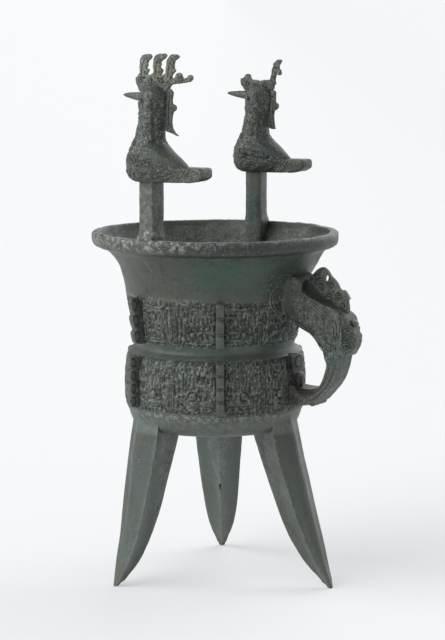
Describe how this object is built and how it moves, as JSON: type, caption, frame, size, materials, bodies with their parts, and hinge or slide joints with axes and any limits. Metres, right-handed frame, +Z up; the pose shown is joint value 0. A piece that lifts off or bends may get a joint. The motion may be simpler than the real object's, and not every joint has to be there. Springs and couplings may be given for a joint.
{
  "type": "ritual wine warmer",
  "caption": "Cast bronze tripod wine vessel with flared mouth, blade legs, beast-head handle, notched flanges and bird-topped posts on the rim.",
  "frame": {"origin": "centre of the bounding box's underside, on the plane the feet stand on", "axes": "+Z up, +X towards the handle, birds face -X, posts on the -Y and +Y sides"},
  "size_m": [0.351, 0.304, 0.6502],
  "materials": {
    "bronze": "dark grey-green patinated cast bronze, semi-matte, with brown, blue-green and pale crusty corrosion"
  },
  "bodies": {
    "root": {"wine_warmer": "bronze"}
  },
  "joints": []
}
